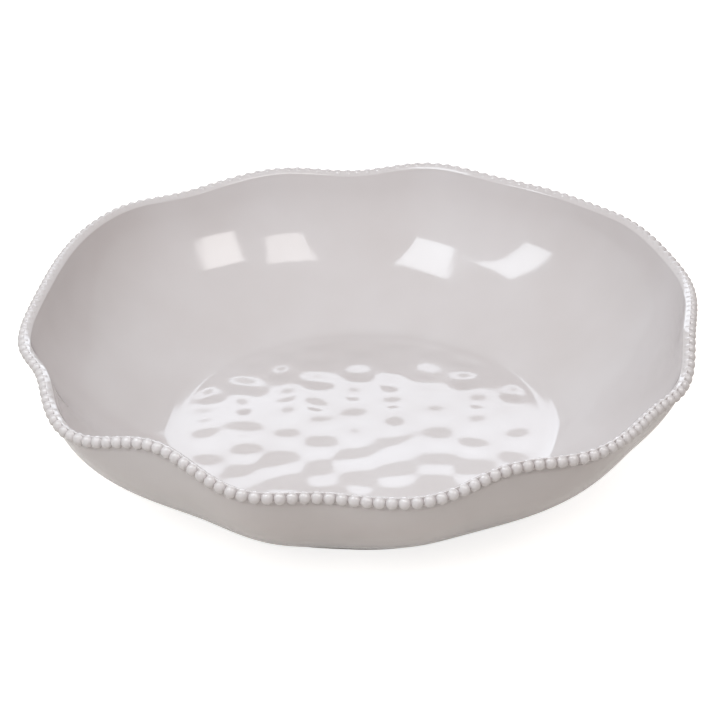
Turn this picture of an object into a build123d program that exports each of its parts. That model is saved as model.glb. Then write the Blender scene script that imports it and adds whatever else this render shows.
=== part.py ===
from build123d import *
import os
from math import ceil, cos, hypot, pi, radians, sin

# A round serving bowl with a ruffled rim. Millimetres, +Z up.
# The origin is the centre of the foot, on the surface that the bowl stands on.

# Foot and floor
foot_inset = 2.0
foot_width = 8.0
foot_height = 4.5
foot_chamfer = 1.0
well_radius = 96.0
floor_thickness = 4.2

# Wall, from the well's edge up to the rim
well_depth = 64.3
rim_radius = 168.0
wall_thickness = 4.2
base_overhang = 10.5
base_bevel = 3.0
cove_flat = 0.8
heel_thickness = 6.5
heel_height = 30.0
belly_power = 2.23
crown_height = 11.0

# Rim wave: how far it reaches out and lifts, how quickly its reach fades down the wall, and the share
# of it that is left at the foot
wave_reach = 6.0
wave_lift = 5.0
wave_fade_power = 1.4
wave_foot_share = 0.12

# Lip and beads
lip_thickness = 1.6
lip_rise = 1.2
lip_round = 0.5
bead_radius = 2.8
bead_gap = 0.2
bead_sides = 6
bead_cap_share = 0.55
bead_cap_height_share = 0.88

# Dimples hammered into the floor
dimple_radius = 8.0
dimple_depth = 0.45
dimple_pitch = 21.0
dimple_margin = 1.5
dimple_sides = 8
dimple_floor_share = 0.5

# Each crest and hollow of the rim, going round from the right-hand side: where it stands in
# degrees, how far out it reaches as a share of wave_reach, and how high as a share of wave_lift.
rim_wave_shares = [
    (-9, -0.90, 0.30),
    (16, 0.35, -0.35),
    (34, 0.40, 0.25),
    (43, 0.15, 0.05),
    (63, 0.15, -0.18),
    (76, 0.82, 0.06),
    (91, -0.39, -0.65),
    (107, -0.02, 0.20),
    (124, 0.05, -0.37),
    (139, 0.52, 0.47),
    (172, -0.80, 0.30),
    (192, 0.10, 0.10),
    (199, -0.70, 0.40),
    (219, 1.30, -0.40),
    (235, -0.70, 1.60),
    (254, 1.50, 0.20),
    (262, -0.40, -0.40),
    (279, 0.65, -0.50),
    (294, -0.95, 0.45),
    (310, 0.40, -0.25),
    (327, -0.50, -0.70),
    (336, 0.10, -1.05),
]
soft_angles = (-4, -2, 0, 2, 4)

# The rim is followed at this many even steps, and each skin of the wall at these shares of its height.
steps_round = 72
skin_shares = (0.1, 0.24, 0.4, 0.6, 0.8, 1.0)
cove_share = 0.045

foot_radius = well_radius - foot_inset
base_radius = well_radius + base_overhang
floor_top = foot_height + floor_thickness
rim_height = floor_top + well_depth
crown = rim_height + crown_height
shoulder_drop = bead_radius + bead_gap
lip_inset = wall_thickness - lip_thickness


def wave_at(angle, column):
    """The rim wave between its two nearest crests or hollows, eased like a cosine."""
    first = rim_wave_shares[0]
    rows = rim_wave_shares + [(first[0] + 360, first[1], first[2])]
    turned = (angle - first[0]) % 360 + first[0]
    for low, high in zip(rows, rows[1:]):
        if low[0] <= turned <= high[0]:
            part = (turned - low[0]) / (high[0] - low[0])
            return low[column] + (high[column] - low[column]) * (1 - cos(pi * part)) / 2


def soft_wave(angle, column):
    """The wave with its turns softened, as pressed ware has them."""
    return sum(wave_at(angle + step, column) for step in soft_angles) / len(soft_angles)


def wall_radius(height, angle, inset):
    """How far from the axis the wall lies, this far inside its outer skin."""
    fall = max(crown - height, 0) / (crown - foot_height)
    rim_fall = crown_height / (crown - foot_height)
    widest = (rim_radius - base_radius * rim_fall**belly_power) / (1 - rim_fall**belly_power)
    spread = widest - base_radius
    slant = spread * belly_power * fall ** (belly_power - 1) / (crown - foot_height)
    depth = min(max(rim_height - height, 0) / well_depth, 1)
    left = 1 - (1 - wave_foot_share) * depth**wave_fade_power
    swell = wave_reach * soft_wave(angle, 1) * left
    return widest - spread * fall**belly_power + swell - inset * hypot(1, slant)


def heel(height):
    """How much thicker the wall is on its inside, where it curves into the floor."""
    return heel_thickness * max(1 - (height - floor_top) / heel_height, 0) ** 2


def rim_level(angle):
    """Height of the bead row's centre line."""
    return rim_height + wave_lift * soft_wave(angle, 2)


def at(radius, angle, height):
    return Vector(radius * cos(radians(angle)), radius * sin(radians(angle)), height)


def ring(place):
    """A closed line round the bowl through place(angle)."""
    step = 360 / steps_round
    return Wire.make_polygon([place(step * i) for i in range(steps_round)], close=True)


def level_ring(radius, height):
    return ring(lambda angle: at(radius, angle, height))


def skin_ring(share, inset):
    """A ring on one skin of the wall, at this share of the way from the well to the shoulder."""
    def place(angle):
        shoulder = rim_level(angle) - shoulder_drop
        height = floor_top + (shoulder - floor_top) * share
        thicker = heel(height) * inset / wall_thickness
        return at(wall_radius(height, angle, inset) - thicker, angle, height)

    return ring(place)


def rim_ring(inset, rise):
    """A ring near the rim, this far inside the outer skin and above the bead row's centre."""
    def place(angle):
        height = rim_level(angle)
        return at(wall_radius(height, angle, inset), angle, height + rise)

    return ring(place)


def solid_round(rings):
    """The solid whose cross-section, carried once round the bowl, has its corners on these rings."""
    return Solid(Shell.make_loft([*rings, rings[0]], ruled=True))


def fluted_wall():
    """The wall: up its outer skin, over the shoulder, down its inner skin and round the floor's seat."""
    low = foot_height + base_bevel / 2
    under = [
        level_ring(well_radius, foot_height),
        level_ring(base_radius - base_bevel, foot_height),
        ring(lambda angle: at(wall_radius(low, angle, 0), angle, low)),
    ]
    outside = [skin_ring(share, 0) for share in skin_shares]
    inside = [skin_ring(share, wall_thickness) for share in reversed(skin_shares)]
    cove = [
        skin_ring(cove_share, wall_thickness),
        level_ring(well_radius + cove_flat, floor_top),
        level_ring(well_radius, floor_top),
    ]
    return solid_round(under + outside + inside + cove)


def rim_lip():
    """The thin smooth lip that stands inside the beads, on the inner half of the shoulder."""
    middle = (wall_thickness + lip_inset) / 2
    return solid_round(
        [
            skin_ring(1, wall_thickness),
            skin_ring(1, lip_inset),
            rim_ring(lip_inset, lip_rise - lip_round),
            rim_ring(middle, lip_rise),
            rim_ring(wall_thickness, lip_rise - lip_round),
        ]
    )


def faceted(sides, levels):
    """A solid with flat faces, stacked from even polygons given as (distance to their sides, height)."""
    corner = 1 / cos(pi / sides)
    turn = 360 / sides
    rows = [[at(size * corner, turn * i, height) for i in range(sides)] for size, height in levels]
    walls = []
    for low, high in zip(rows, rows[1:]):
        for i in range(sides):
            after = (i + 1) % sides
            walls.append([low[i], low[after], high[after], high[i]])
    outlines = [rows[0], rows[-1]] + walls
    return Solid(Shell([Face(Wire.make_polygon(outline, close=True)) for outline in outlines]))


def dimple_places():
    """Staggered rows of dimples, as far out as the well's edge allows."""
    row_pitch = dimple_pitch * sin(radians(60))
    reach = well_radius - dimple_radius - dimple_margin
    rows = ceil(well_radius / row_pitch)
    places = []
    for row in range(-rows, rows + 1):
        offset = dimple_pitch / 2 * (row % 2)
        for step in range(-rows, rows + 1):
            place = (step * dimple_pitch + offset, row * row_pitch)
            if hypot(*place) <= reach:
                places.append(place)
    return places


def well_floor():
    """The round floor with its hammered dimples, flush with the well's edge in the wall's seat."""
    disc = extrude(Face(level_ring(well_radius, foot_height)), amount=floor_thickness, dir=(0, 0, 1))
    flat = dimple_radius * dimple_floor_share
    dimple = faceted(
        dimple_sides,
        [(flat, -dimple_depth), (dimple_radius, 0), (dimple_radius, dimple_depth)],
    )
    return disc - [Pos(x, y, floor_top) * dimple for x, y in dimple_places()]


def foot_ring():
    """The low ring that the bowl stands on, chamfered where it meets the table."""
    outside = Cylinder(foot_radius, foot_height, align=on_top)
    inside = Cylinder(foot_radius - foot_width, foot_height, align=on_top)
    tube = outside - inside
    return chamfer(tube.edges().group_by(Axis.Z)[0], foot_chamfer)


def bead_line():
    """The bead row's centre line: in the corner of shoulder and lip, and straight between the steps."""
    def place(angle):
        height = rim_level(angle)
        return at(wall_radius(height, angle, lip_inset) + shoulder_drop, angle, height)

    return [place(360 / steps_round * i) for i in range(steps_round + 1)]


def bead_row():
    """Separate beads set side by side along the rim, evenly spaced along its length."""
    half_width = bead_radius - bead_gap / 2
    cap_width = half_width * bead_cap_share
    cap_height = bead_radius * bead_cap_height_share
    bead = faceted(bead_sides, [(cap_width, -cap_height), (half_width, 0), (cap_width, cap_height)])
    corners = bead_line()
    runs = [(high - low).length for low, high in zip(corners, corners[1:])]
    count = round(sum(runs) / (bead_radius * 2))
    pitch = sum(runs) / count
    beads = []
    passed = 0
    step = 0
    for n in range(count):
        while passed + runs[step] < pitch * n:
            passed += runs[step]
            step += 1
        low, high = corners[step], corners[step + 1]
        along = (high - low).normalized()
        centre = low + along * (pitch * n - passed)
        outward = Vector(centre.X, centre.Y, 0).normalized() + Vector(0, 0, 1)
        axis = outward - along * outward.dot(along)
        beads.append(Plane(origin=centre, x_dir=axis.cross(along), z_dir=axis) * bead)
    return Compound(beads)


on_top = (Align.CENTER, Align.CENTER, Align.MIN)
nodes = {
    "fluted_wall": fluted_wall(),
    "rim_lip": rim_lip(),
    "well_floor": well_floor(),
    "foot_ring": foot_ring(),
    "bead_row": bead_row(),
}
os.makedirs("parts", exist_ok=True)
for name, shape in nodes.items():
    print(name, len(shape.solids()), "solids", round(sum(s.volume for s in shape.solids())), "mm3")
    export_step(shape, f"parts/{name}.step")
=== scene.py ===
import random
from functools import lru_cache
from math import atan, atan2, ceil, cos, degrees, exp, hypot, pi, radians, sin, tau

import bmesh
import bpy
from mathutils import Matrix, Quaternion, Vector, noise


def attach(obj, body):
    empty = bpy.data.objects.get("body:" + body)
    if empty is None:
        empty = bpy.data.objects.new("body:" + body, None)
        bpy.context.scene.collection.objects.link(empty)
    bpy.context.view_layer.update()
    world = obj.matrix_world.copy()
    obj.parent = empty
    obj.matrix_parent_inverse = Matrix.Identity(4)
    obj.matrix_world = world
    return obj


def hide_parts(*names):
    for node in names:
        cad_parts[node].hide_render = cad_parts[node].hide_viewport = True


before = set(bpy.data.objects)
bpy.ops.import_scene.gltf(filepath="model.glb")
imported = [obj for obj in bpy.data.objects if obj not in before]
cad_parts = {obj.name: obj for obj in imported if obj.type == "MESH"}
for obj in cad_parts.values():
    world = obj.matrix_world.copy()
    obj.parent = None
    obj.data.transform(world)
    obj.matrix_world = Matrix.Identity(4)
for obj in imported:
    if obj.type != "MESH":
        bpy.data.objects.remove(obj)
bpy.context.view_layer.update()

scene = bpy.context.scene
scene.view_settings.view_transform = "Standard"

# The camera looks down into the bowl from well back, through a long lens, and leans a touch to one side.
# It is aimed just under the rim's centre, so the bowl stands a little above the middle of the picture.
view_elevation = radians(28.9)
view_distance = 1.2768
view_centre_height = 0.073
view_aim = Vector((-0.001, -0.0112, 0.0526))
view_lean = radians(0.6)
lens_mm = 127.85

camera_data = bpy.data.cameras.new("view_camera")
camera_data.lens = lens_mm
camera_data.clip_start = 0.05
camera_data.clip_end = 50
camera = bpy.data.objects.new("view_camera", camera_data)
scene.collection.objects.link(camera)
camera.location = (
    0,
    -view_distance * cos(view_elevation),
    view_centre_height + view_distance * sin(view_elevation),
)
camera.rotation_mode = "QUATERNION"
look = (view_aim - camera.location).to_track_quat("-Z", "Y")
camera.rotation_quaternion = look @ Quaternion((0, 0, 1), -view_lean)
scene.camera = camera

# The bowl itself is one moulding of pale, warm grey melamine: a hammered well, a fluted wall, a thin lip
# and a low foot ring. Its section is spun round the axis, then carried in and out and up and down along
# the rim's wave, and last the well is dimpled.
foot_radius = 0.094
foot_width = 0.008
foot_height = 0.0045
foot_round = 0.001
base_radius = 0.1065
base_bevel = 0.003
floor_top = 0.0087
well_depth = 0.0643
wall_thickness = 0.0042
rim_radius = 0.168
crown_height = 0.011
belly_power = 2.23
heel_thickness = 0.0065
heel_height = 0.030
well_crown = 0.00075
well_crown_radius = 3.0
cove_radius = 0.019
cove_start = 0.09276
cove_turn = radians(25)
wave_reach = 0.006
wave_lift = 0.005
wave_fade_power = 1.4
wave_foot_share = 0.12
wave_ramp = 0.008
lip_thickness = 0.0016
lip_rise = 0.00275
lip_lean = 0.0005
lip_lean_height = 0.007
lip_edge_radius = 0.0008
lip_slope = radians(46)
lip_bend_radius = 0.0064
lip_top_slope = radians(30)
lip_band = 0.0014
lip_crest_radius = 0.0004
shoulder_drop = 0.003
ripple_depth = 0.00009
ripple_width = 0.016
rim_height = floor_top + well_depth
crown = rim_height + crown_height
lip_inset = wall_thickness - lip_thickness

# Each crest and hollow of the rim, going round from the right-hand side: where it stands in degrees,
# how far out it reaches as a share of wave_reach, and how high as a share of wave_lift.
rim_wave_shares = [
    (-9, -0.90, 0.30),
    (16, 0.35, -0.35),
    (34, 0.40, 0.25),
    (43, 0.15, 0.05),
    (63, 0.15, -0.18),
    (76, 0.82, 0.06),
    (91, -0.39, -0.65),
    (107, -0.02, 0.20),
    (124, 0.05, -0.37),
    (139, 0.52, 0.47),
    (172, -0.80, 0.30),
    (192, 0.10, 0.10),
    (199, -0.70, 0.40),
    (219, 1.30, -0.40),
    (235, -0.70, 1.60),
    (254, 1.50, 0.20),
    (262, -0.40, -0.40),
    (279, 0.65, -0.50),
    (294, -0.95, 0.45),
    (310, 0.40, -0.25),
    (327, -0.50, -0.70),
    (336, 0.10, -1.05),
]
soft_angles = (-4, -2, 0, 2, 4)
angle_digits = 3


def wave_at(angle, column):
    """The rim wave between its two nearest crests or hollows, eased like a cosine."""
    first = rim_wave_shares[0]
    rows = rim_wave_shares + [(first[0] + 360, first[1], first[2])]
    turned = (angle - first[0]) % 360 + first[0]
    for low, high in zip(rows, rows[1:]):
        if low[0] <= turned <= high[0]:
            part = (turned - low[0]) / (high[0] - low[0])
            return low[column] + (high[column] - low[column]) * (1 - cos(pi * part)) / 2


@lru_cache(None)
def reach_at(angle):
    """How far the rim reaches out at an angle."""
    return wave_reach * sum(wave_at(angle + step, 1) for step in soft_angles) / len(soft_angles)


@lru_cache(None)
def lift_at(angle):
    """How far the rim lifts at an angle."""
    return wave_lift * sum(wave_at(angle + step, 2) for step in soft_angles) / len(soft_angles)


def wall_line(height):
    """The wall's outer radius at a height, before the wave, and how far it leans out there."""
    fall = max(crown - height, 0) / (crown - foot_height)
    rim_fall = crown_height / (crown - foot_height)
    widest = (rim_radius - base_radius * rim_fall**belly_power) / (1 - rim_fall**belly_power)
    spread = widest - base_radius
    slant = spread * belly_power * fall ** (belly_power - 1) / (crown - foot_height)
    return widest - spread * fall**belly_power, slant


def skin(height, inset):
    """The radius this far inside the outer skin."""
    radius, slant = wall_line(height)
    return radius - inset * hypot(1, slant)


def fade(height):
    """How much of the wave's reach is left at a height: all at the rim, and little at the foot."""
    depth = min(max(rim_height - height, 0) / well_depth, 1)
    return 1 - (1 - wave_foot_share) * depth**wave_fade_power


def carried(point):
    """Where a point of the plain spun bowl goes when the wave takes it along, with a slight ripple."""
    radius = hypot(point.x, point.y)
    if radius < foot_radius:
        return point
    angle = round(degrees(atan2(point.y, point.x)), angle_digits)
    shoulder = rim_height - shoulder_drop
    share = min(max((point.z - floor_top) / (shoulder - floor_top), 0), 1)
    height = point.z + lift_at(angle) * share
    ripple = ripple_depth * share * noise.noise(point / ripple_width)
    ramp = min((radius - foot_radius) / wave_ramp, 1)
    swell = reach_at(angle) * fade(height) * ramp + ripple
    moved = radius + wall_line(height)[0] - wall_line(point.z)[0] + swell
    return Vector((point.x * moved / radius, point.y * moved / radius, height))


def well_level(radius):
    """The well's height, which is crowned a little in its middle."""
    return floor_top + well_crown - radius**2 / (2 * well_crown_radius)


def section():
    """The bowl's cross-section from the middle of the well, over the rim and back under the foot.

    Above the wall's inner side stand the lip's rounded edge, its bend, its straight band and its crest.
    """
    floor_steps = 60
    cove_steps = 7
    wall_steps = 44
    lip_steps = 6
    outer_steps = 30
    ring_steps = 4
    radii = [cove_start * step / floor_steps for step in range(floor_steps + 1)]
    points = [(radius, well_level(radius)) for radius in radii]
    dip = -atan(cove_start / well_crown_radius)
    cove_middle = cove_start - cove_radius * sin(dip)
    cove_top = well_level(cove_start) + cove_radius * cos(dip)
    for step in range(1, cove_steps + 1):
        turn = dip + (cove_turn - dip) * step / cove_steps
        points.append((cove_middle + cove_radius * sin(turn), cove_top - cove_radius * cos(turn)))
    low = points[-1][1]
    wall_slope = pi / 2 - atan(wall_line(rim_height)[1])
    edge_rise = lip_edge_radius * (cos(lip_slope) - cos(wall_slope))
    bend_rise = lip_bend_radius * (cos(lip_top_slope) - cos(lip_slope))
    band_rise = lip_band * sin(lip_top_slope)
    high = rim_height + lip_rise - lip_crest_radius - (bend_rise + band_rise) - edge_rise
    for step in range(1, wall_steps + 1):
        height = low + (high - low) * step / wall_steps
        heel = heel_thickness * max(1 - (height - floor_top) / heel_height, 0) ** 2
        lean = lip_lean * max(1 - (high - height) / lip_lean_height, 0) ** 2
        points.append((skin(height, wall_thickness) - heel + lean, height))
    edge_middle = points[-1][0] + lip_edge_radius * sin(wall_slope)
    edge_level = high - lip_edge_radius * cos(wall_slope)
    for step in range(1, lip_steps + 1):
        turn = wall_slope + (lip_slope - wall_slope) * step / lip_steps
        points.append((edge_middle - lip_edge_radius * sin(turn), edge_level + lip_edge_radius * cos(turn)))
    bend_middle = points[-1][0] + lip_bend_radius * sin(lip_slope)
    bend_level = points[-1][1] - lip_bend_radius * cos(lip_slope)
    for step in range(1, lip_steps + 1):
        turn = lip_slope + (lip_top_slope - lip_slope) * step / lip_steps
        points.append((bend_middle - lip_bend_radius * sin(turn), bend_level + lip_bend_radius * cos(turn)))
    band_start, band_foot = points[-1]
    for step in range(1, lip_steps + 1):
        along = lip_band * step / lip_steps
        points.append((band_start + along * cos(lip_top_slope), band_foot + along * sin(lip_top_slope)))
    crest_middle = points[-1][0] + lip_crest_radius * sin(lip_top_slope)
    crest_level = points[-1][1] - lip_crest_radius * cos(lip_top_slope)
    for step in range(1, lip_steps + 1):
        turn = lip_top_slope - (lip_top_slope + pi / 2) * step / lip_steps
        height = crest_level + lip_crest_radius * cos(turn)
        points.append((crest_middle - lip_crest_radius * sin(turn), height))
    seat = rim_height - shoulder_drop
    lip_half = lip_thickness / 2
    points.append((points[-1][0], seat))
    points.append((skin(seat, lip_half), seat))
    points.append((skin(seat - lip_half, 0), seat - lip_half))
    top = seat - lip_half
    bottom = foot_height + base_bevel
    for step in range(1, outer_steps + 1):
        height = top + (bottom - top) * step / outer_steps
        points.append((skin(height, 0), height))
    for step in range(1, ring_steps + 1):
        turn = pi / 2 * step / ring_steps
        points.append((skin(bottom, 0) - base_bevel * sin(turn), bottom - base_bevel * (1 - cos(turn))))
    points.append((foot_radius + foot_round, foot_height))
    points.append((foot_radius, foot_height - foot_round))
    points.append((foot_radius, foot_round))
    points.append((foot_radius - foot_round, 0))
    points.append((foot_radius - foot_width + foot_round, 0))
    points.append((foot_radius - foot_width, foot_round))
    points.append((foot_radius - foot_width, foot_height - foot_round))
    points.append((foot_radius - foot_width - foot_round, foot_height))
    points.append((0, foot_height))
    return points


# One sector is spun, and its copies are turned into their places and welded to it.
sectors = 12
sector_steps = 40
bowl_mesh = bmesh.new()
outline = [bowl_mesh.verts.new((radius, 0, height)) for radius, height in section()]
edges = [bowl_mesh.edges.new(pair) for pair in zip(outline, outline[1:])]
bmesh.ops.spin(
    bowl_mesh,
    geom=outline + edges,
    axis=(0, 0, 1),
    cent=(0, 0, 0),
    angle=tau / sectors,
    steps=sector_steps,
)
sector = bowl_mesh.verts[:] + bowl_mesh.edges[:] + bowl_mesh.faces[:]
for number in range(1, sectors):
    copied = bmesh.ops.duplicate(bowl_mesh, geom=sector)["geom"]
    corners = [item for item in copied if isinstance(item, bmesh.types.BMVert)]
    turn = Matrix.Rotation(tau * number / sectors, 3, "Z")
    bmesh.ops.rotate(bowl_mesh, verts=corners, cent=(0, 0, 0), matrix=turn)
weld = 0.00001
bmesh.ops.remove_doubles(bowl_mesh, verts=bowl_mesh.verts, dist=weld)
bmesh.ops.recalc_face_normals(bowl_mesh, faces=bowl_mesh.faces)

# Hammer marks stand in staggered rows over the well, none quite alike, and the well sways a little.
mark_pitch = 0.0225
mark_spread = 0.0055
mark_spread_shares = (0.8, 1.2)
mark_depth = 0.00062
mark_depth_shares = (0.75, 1.15)
mark_wander = 0.0032
mark_reach = 0.092
mark_stretch = 0.3
mark_end_share = 4
marks_fade = 0.006
mark_start = Vector((-0.002, 0.008))
mark_seed = 7
sway_height = 0.00012
sway_width = 0.05
draw = random.Random(mark_seed)
marks = []
row_pitch = mark_pitch * sin(radians(60))
rows = ceil(mark_reach / row_pitch)
for row in range(-rows, rows + 1):
    for step in range(-rows, rows + 1):
        place = mark_start + Vector((row * row_pitch, (step + row % 2 / 2) * mark_pitch))
        place += Vector((draw.uniform(-1, 1), draw.uniform(-1, 1))) * mark_wander
        wide = mark_spread * draw.uniform(*mark_spread_shares)
        deep = mark_depth * draw.uniform(*mark_depth_shares)
        turn = draw.uniform(0, pi)
        stretch = 1 + mark_stretch * draw.uniform(0, 1)
        if place.length < mark_reach:
            marks.append((place, wide, deep, turn, stretch))


def hammered(point):
    """How far the well's surface is pushed down at a point by its sway and the marks round it."""
    sink = sway_height * noise.noise(point / sway_width)
    for place, wide, deep, turn, stretch in marks:
        aside = point.xy - place
        if aside.length < mark_end_share * wide:
            along = (aside.x * cos(turn) + aside.y * sin(turn)) / stretch
            across = (aside.y * cos(turn) - aside.x * sin(turn)) * stretch
            sink += deep * exp(-(along**2 + across**2) / (2 * wide * wide))
    edge = (cove_start - hypot(point.x, point.y)) / marks_fade
    return sink * min(max(edge, 0), 1)


for vertex in bowl_mesh.verts:
    vertex.co = carried(vertex.co)
    if vertex.co.z > foot_height + weld and vertex.co.xy.length < cove_start:
        vertex.co.z -= hammered(vertex.co)

bowl_data = bpy.data.meshes.new("bowl_shell")
bowl_mesh.to_mesh(bowl_data)
bowl_mesh.free()
bowl_data.shade_smooth()
bowl = bpy.data.objects.new("bowl_shell", bowl_data)
scene.collection.objects.link(bowl)

melamine_shade = (0.56, 0.51, 0.50, 1)
melamine_light = (0.60, 0.555, 0.55, 1)
peel_depth = 0.00002
melamine = bpy.data.materials.new("glossy_melamine")
melamine.use_nodes = True
nodes = melamine.node_tree.nodes
links = melamine.node_tree.links
shader = nodes["Principled BSDF"]
shader.inputs["Roughness"].default_value = 0.08
shader.inputs["IOR"].default_value = 1.55
object_place = nodes.new("ShaderNodeTexCoord")
mottle = nodes.new("ShaderNodeTexNoise")
mottle.inputs["Scale"].default_value = 14
mottle.inputs["Detail"].default_value = 3
tint = nodes.new("ShaderNodeValToRGB")
tint.color_ramp.elements[0].position = 0.35
tint.color_ramp.elements[0].color = melamine_shade
tint.color_ramp.elements[1].position = 0.7
tint.color_ramp.elements[1].color = melamine_light
peel = nodes.new("ShaderNodeTexNoise")
peel.inputs["Scale"].default_value = 170
peel.inputs["Detail"].default_value = 1
skin_bump = nodes.new("ShaderNodeBump")
skin_bump.inputs["Strength"].default_value = 1
skin_bump.inputs["Distance"].default_value = peel_depth
links.new(object_place.outputs["Object"], mottle.inputs["Vector"])
links.new(object_place.outputs["Object"], peel.inputs["Vector"])
links.new(mottle.outputs["Fac"], tint.inputs["Fac"])
links.new(tint.outputs["Color"], shader.inputs["Base Color"])
links.new(peel.outputs["Fac"], skin_bump.inputs["Height"])
links.new(skin_bump.outputs["Normal"], shader.inputs["Normal"])
bowl.data.materials.append(melamine)
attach(bowl, "root")
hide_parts("fluted_wall", "rim_lip", "well_floor", "foot_ring")

# A row of round beads is moulded along the rim, in the corner between the shoulder and the lip, and they
# are glossier than the bowl. Each is a small sphere, and they stand side by side, evenly spaced along the
# rim's own length, and sink a little into each other and into that corner.
bead_radius = 0.00308
bead_width = 0.0056
bead_sink = 0.00051
bead_drop = 0.00034
bead_subdivisions = 2
rim_steps = 720


def bead_point(angle):
    """The bead row's centre line at an angle."""
    height = rim_height + lift_at(angle)
    radius = skin(height, lip_inset) + reach_at(angle) * fade(height) + shoulder_drop - bead_sink
    return Vector((radius * cos(radians(angle)), radius * sin(radians(angle)), height - bead_drop))


rim_line = [bead_point(360 * step / rim_steps) for step in range(rim_steps)]
rim_ahead = rim_line[1:] + rim_line[:1]
rim_runs = [(after - place).length for place, after in zip(rim_line, rim_ahead)]
bead_count = round(sum(rim_runs) / bead_width)
bead_pitch = sum(rim_runs) / bead_count
bead_mesh = bmesh.new()
bmesh.ops.create_icosphere(bead_mesh, subdivisions=bead_subdivisions, radius=bead_radius)
one_bead = bpy.data.meshes.new("one_bead")
bead_mesh.to_mesh(one_bead)
bead_mesh.free()
beads_mesh = bmesh.new()
passed = 0
beads_set = 0
for place, after, run in zip(rim_line, rim_ahead, rim_runs):
    while beads_set < bead_count and bead_pitch * beads_set < passed + run:
        centre = place.lerp(after, (bead_pitch * beads_set - passed) / run)
        first_corner = len(beads_mesh.verts)
        beads_mesh.from_mesh(one_bead)
        beads_mesh.verts.ensure_lookup_table()
        bmesh.ops.translate(beads_mesh, verts=beads_mesh.verts[first_corner:], vec=centre)
        beads_set += 1
    passed += run
bpy.data.meshes.remove(one_bead)
beads_data = bpy.data.meshes.new("rim_beads")
beads_mesh.to_mesh(beads_data)
beads_mesh.free()
beads_data.shade_smooth()
beads = bpy.data.objects.new("rim_beads", beads_data)
scene.collection.objects.link(beads)
bead_skin = melamine.copy()
bead_skin.name = "glossy_bead_skin"
bead_shader = bead_skin.node_tree.nodes["Principled BSDF"]
bead_shader.inputs["Roughness"].default_value = 0.04
bead_shader.inputs["Specular IOR Level"].default_value = 0.7
bead_skin.node_tree.links.remove(bead_shader.inputs["Normal"].links[0])
beads.data.materials.append(bead_skin)
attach(beads, "root")
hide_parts("bead_row")

# The bowl stands on a plain white floor, which runs far back and keeps the bowl's soft shadow.
# The camera sees it, and the room beyond it, as white, and the gloss on the bowl mirrors it pale.
floor_reach = 12
floor_seen = 0.80
floor_mirrored = 0.28
floor_mesh = bmesh.new()
bmesh.ops.create_grid(floor_mesh, x_segments=1, y_segments=1, size=floor_reach)
floor_data = bpy.data.meshes.new("white_floor")
floor_mesh.to_mesh(floor_data)
floor_mesh.free()
white_floor = bpy.data.objects.new("white_floor", floor_data)
scene.collection.objects.link(white_floor)
floor_paint = bpy.data.materials.new("floor_paint")
floor_paint.use_nodes = True


def looked_at(tree, camera_strength, mirror_strength):
    """A strength for the rays of the camera, another for gloss and glass, and 0 for all other light."""
    ray = tree.nodes.new("ShaderNodeLightPath")
    mirrored = tree.nodes.new("ShaderNodeMath")
    mirrored.operation = "MAXIMUM"
    tree.links.new(ray.outputs["Is Glossy Ray"], mirrored.inputs[0])
    tree.links.new(ray.outputs["Is Transmission Ray"], mirrored.inputs[1])
    direct = tree.nodes.new("ShaderNodeMath")
    direct.operation = "MULTIPLY"
    direct.inputs[1].default_value = camera_strength
    tree.links.new(ray.outputs["Is Camera Ray"], direct.inputs[0])
    both = tree.nodes.new("ShaderNodeMath")
    both.operation = "MULTIPLY_ADD"
    both.inputs[1].default_value = mirror_strength
    tree.links.new(mirrored.outputs["Value"], both.inputs[0])
    tree.links.new(direct.outputs["Value"], both.inputs[2])
    return both.outputs["Value"]


floor_shader = floor_paint.node_tree.nodes["Principled BSDF"]
floor_shader.inputs["Base Color"].default_value = (0.64, 0.60, 0.56, 1)
floor_shader.inputs["Roughness"].default_value = 0.9
floor_shader.inputs["Emission Color"].default_value = (1, 1, 1, 1)
floor_glow = looked_at(floor_paint.node_tree, floor_seen, floor_mirrored)
floor_paint.node_tree.links.new(floor_glow, floor_shader.inputs["Emission Strength"])
white_floor.data.materials.append(floor_paint)

room = bpy.data.worlds.new("white_room")
room.use_nodes = True
scene.world = room
room_nodes = room.node_tree.nodes
room_links = room.node_tree.links
ambient = room_nodes["Background"]
ambient.inputs["Color"].default_value = (1, 0.96, 0.91, 1)
ambient.inputs["Strength"].default_value = 0.28
white = room_nodes.new("ShaderNodeBackground")
white.inputs["Strength"].default_value = 1
white_or_ambient = room_nodes.new("ShaderNodeMixShader")
room_links.new(looked_at(room.node_tree, 1, 1), white_or_ambient.inputs["Fac"])
room_links.new(ambient.outputs["Background"], white_or_ambient.inputs[1])
room_links.new(white.outputs["Background"], white_or_ambient.inputs[2])
room_links.new(white_or_ambient.outputs["Shader"], room_nodes["World Output"].inputs["Surface"])

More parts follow.
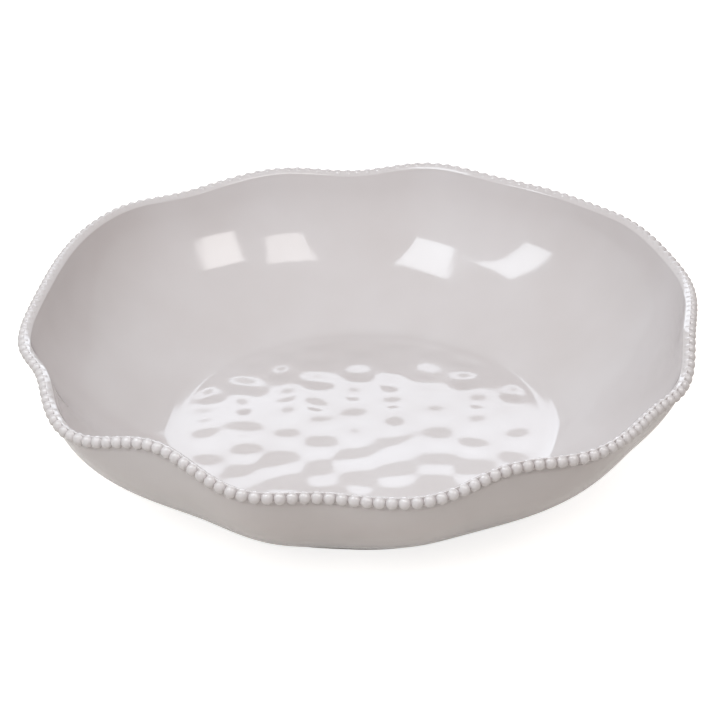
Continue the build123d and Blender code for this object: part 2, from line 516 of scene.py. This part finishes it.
# Soft lamps light the bowl: two pairs of softboxes high up at its sides, a broad one in front that fills
# the shade, and a panel behind it. The pairs show as bright windows on the back wall and the panel as the
# sheen on the well, while the gloss doesn't mirror the fill.
lamp_aim = Vector((0, 0, 0.04))
lamp_distance = 1.3
cool_tone = (0.88, 0.95, 1)
warm_tone = (1, 0.98, 0.97)
panel_place = (0, 1.5, 0.56)
panel_width = 0.95
panel_height = 0.97
panel_glow = 2.4
panel_tone = (0.84, 0.91, 1)


def soft_lamp(name, place, aim, roll, width, height, glow, tone):
    """A rectangular lamp turned towards aim, whose face is as bright as glow, where 1 is white."""
    lamp_data = bpy.data.lights.new(name, "AREA")
    lamp_data.shape = "RECTANGLE"
    lamp_data.size = width
    lamp_data.size_y = height
    lamp_data.energy = glow * pi * width * height
    lamp_data.color = tone
    lamp = bpy.data.objects.new(name, lamp_data)
    scene.collection.objects.link(lamp)
    lamp.location = place
    lamp.rotation_mode = "QUATERNION"
    facing = (aim - Vector(place)).to_track_quat("-Z", "Y")
    lamp.rotation_quaternion = facing @ Quaternion((0, 0, 1), radians(roll))


# Each softbox: how far round to the camera's right it stands, how high, and how far it is rolled about
# its own axis, in degrees, its width and height, its glow, and its tone.
softboxes = [
    ("right_low_softbox", 69, 49, -31, 0.24, 0.50, 5.2, warm_tone),
    ("right_high_softbox", 43, 64, -23, 0.31, 0.48, 4.0, warm_tone),
    ("left_low_softbox", -87, 50, 17, 0.23, 0.54, 5.4, cool_tone),
    ("left_high_softbox", -61, 73.5, 29, 0.54, 0.45, 5.8, cool_tone),
    ("fill_softbox", -22, 48, 0, 0.9, 0.8, 3.7, cool_tone),
]
for name, turn, climb, roll, width, height, glow, tone in softboxes:
    away = lamp_distance * cos(radians(climb))
    up = lamp_distance * sin(radians(climb))
    place = (away * sin(radians(turn)), -away * cos(radians(turn)), up)
    soft_lamp(name, place, lamp_aim, roll, width, height, glow, tone)
bpy.data.objects["fill_softbox"].visible_glossy = False
panel_aim = Vector((0, 0, panel_place[2]))
soft_lamp("back_panel", panel_place, panel_aim, 0, panel_width, panel_height, panel_glow, panel_tone)
